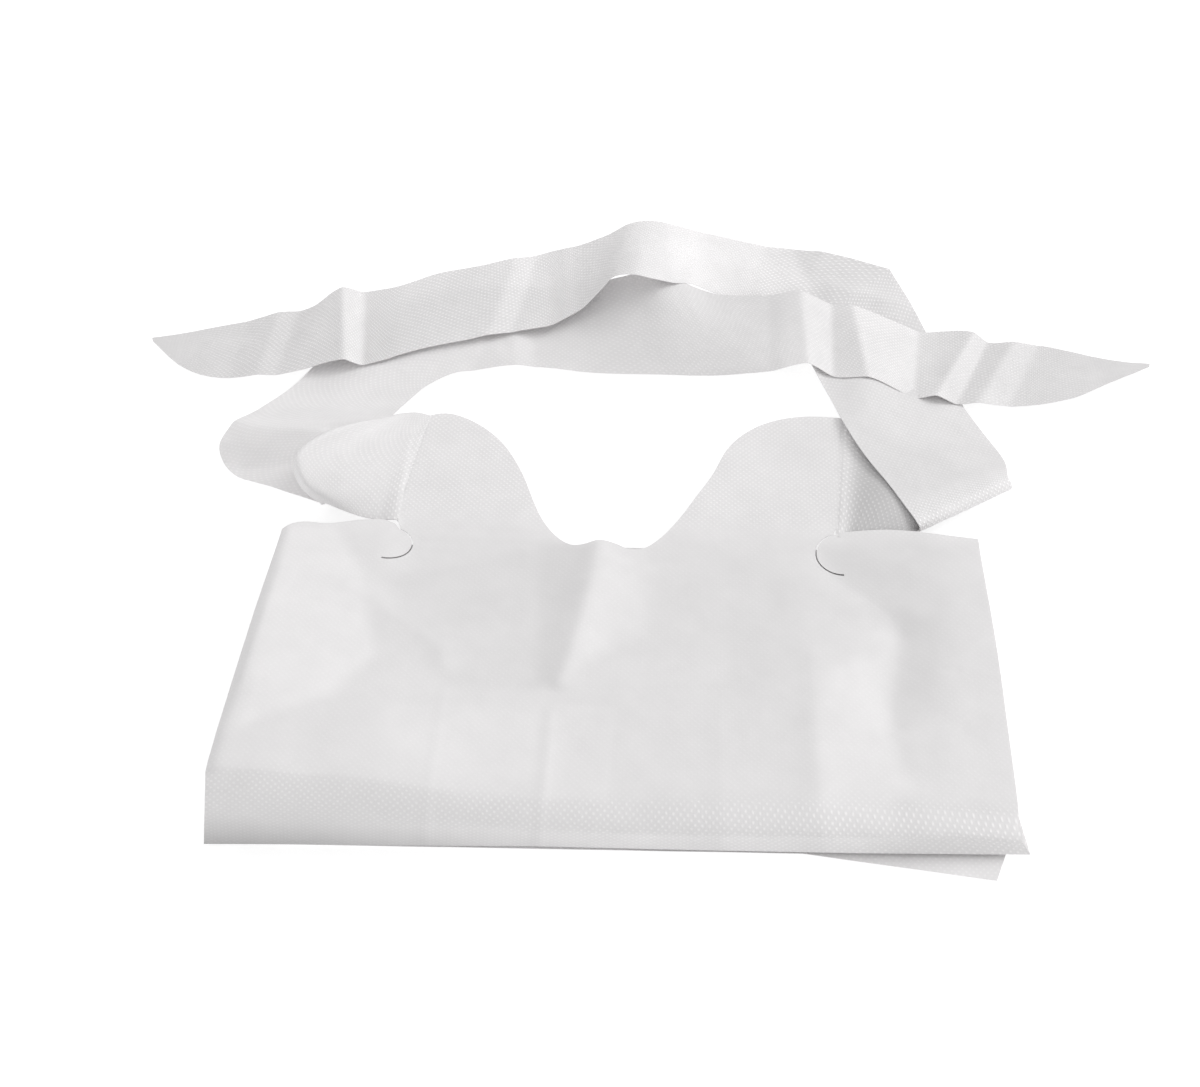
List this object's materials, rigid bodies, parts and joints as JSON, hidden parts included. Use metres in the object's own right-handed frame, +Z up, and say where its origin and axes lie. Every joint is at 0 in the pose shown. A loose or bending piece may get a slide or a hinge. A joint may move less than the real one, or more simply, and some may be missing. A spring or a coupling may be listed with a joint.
{
  "type": "disposable barber cape",
  "caption": "Folded white embossed film cape with a neck notch and two tie straps that cross behind it.",
  "frame": {"origin": "middle of the folded packet's underside, on the surface that it rests on", "axes": "+X along the packet, +Y from the front fold to the tie straps, +Z up"},
  "size_m": [0.422, 0.3161, 0.0365],
  "materials": {
    "film": "embossed semi-gloss"
  },
  "bodies": {
    "skirt": {"skirt_section_1": "film", "skirt_section_2": "film", "skirt_section_3": "film", "skirt_section_4": "film"},
    "bib": {"front_fold": "film", "chest_panel": "film", "side_fold_left": "film", "side_fold_right": "film", "neck_lobe_left": "film", "neck_lobe_right": "film", "tie_left_root": "film", "tie_left_turn": "film", "tie_left_run": "film", "tie_right_root": "film", "tie_right_roll": "film", "tie_right_run": "film", "tie_right_return": "film"},
    "tie_left_end": {"tie_left_end": "film"},
    "tie_left_tip": {"tie_left_tip": "film"},
    "tie_right_end": {"tie_right_end": "film"},
    "tie_right_tip": {"tie_right_tip": "film"}
  },
  "joints": [
    {"name": "bib_fold", "type": "hinge", "parent": "skirt", "child": "bib", "pos_m": [0, -0.0712, 0.0022], "axis": [0.9996, 0.0286, 0], "range_deg": [0, 90]},
    {"name": "tie_left_end_fold", "type": "hinge", "parent": "bib", "child": "tie_left_end", "pos_m": [0.1155, 0.1656, 0.0095], "axis": [-0.1491, -0.9887, -0.0156], "range_deg": [0, 120]},
    {"name": "tie_left_tip_fold", "type": "hinge", "parent": "tie_left_end", "child": "tie_left_tip", "pos_m": [0.1692, 0.167, 0.0027], "axis": [-0.1311, -0.9913, -0.0137], "range_deg": [0, 90]},
    {"name": "tie_right_end_fold", "type": "hinge", "parent": "bib", "child": "tie_right_end", "pos_m": [-0.03855, 0.20605, 0.0102], "axis": [-0.1096, 0.994, 0], "range_deg": [0, 100]},
    {"name": "tie_right_tip_fold", "type": "hinge", "parent": "tie_right_end", "child": "tie_right_tip", "pos_m": [-0.1179, 0.17755, 0.00945], "axis": [-0.09, 0.9959, -0.0061], "range_deg": [0, 90]}
  ]
}
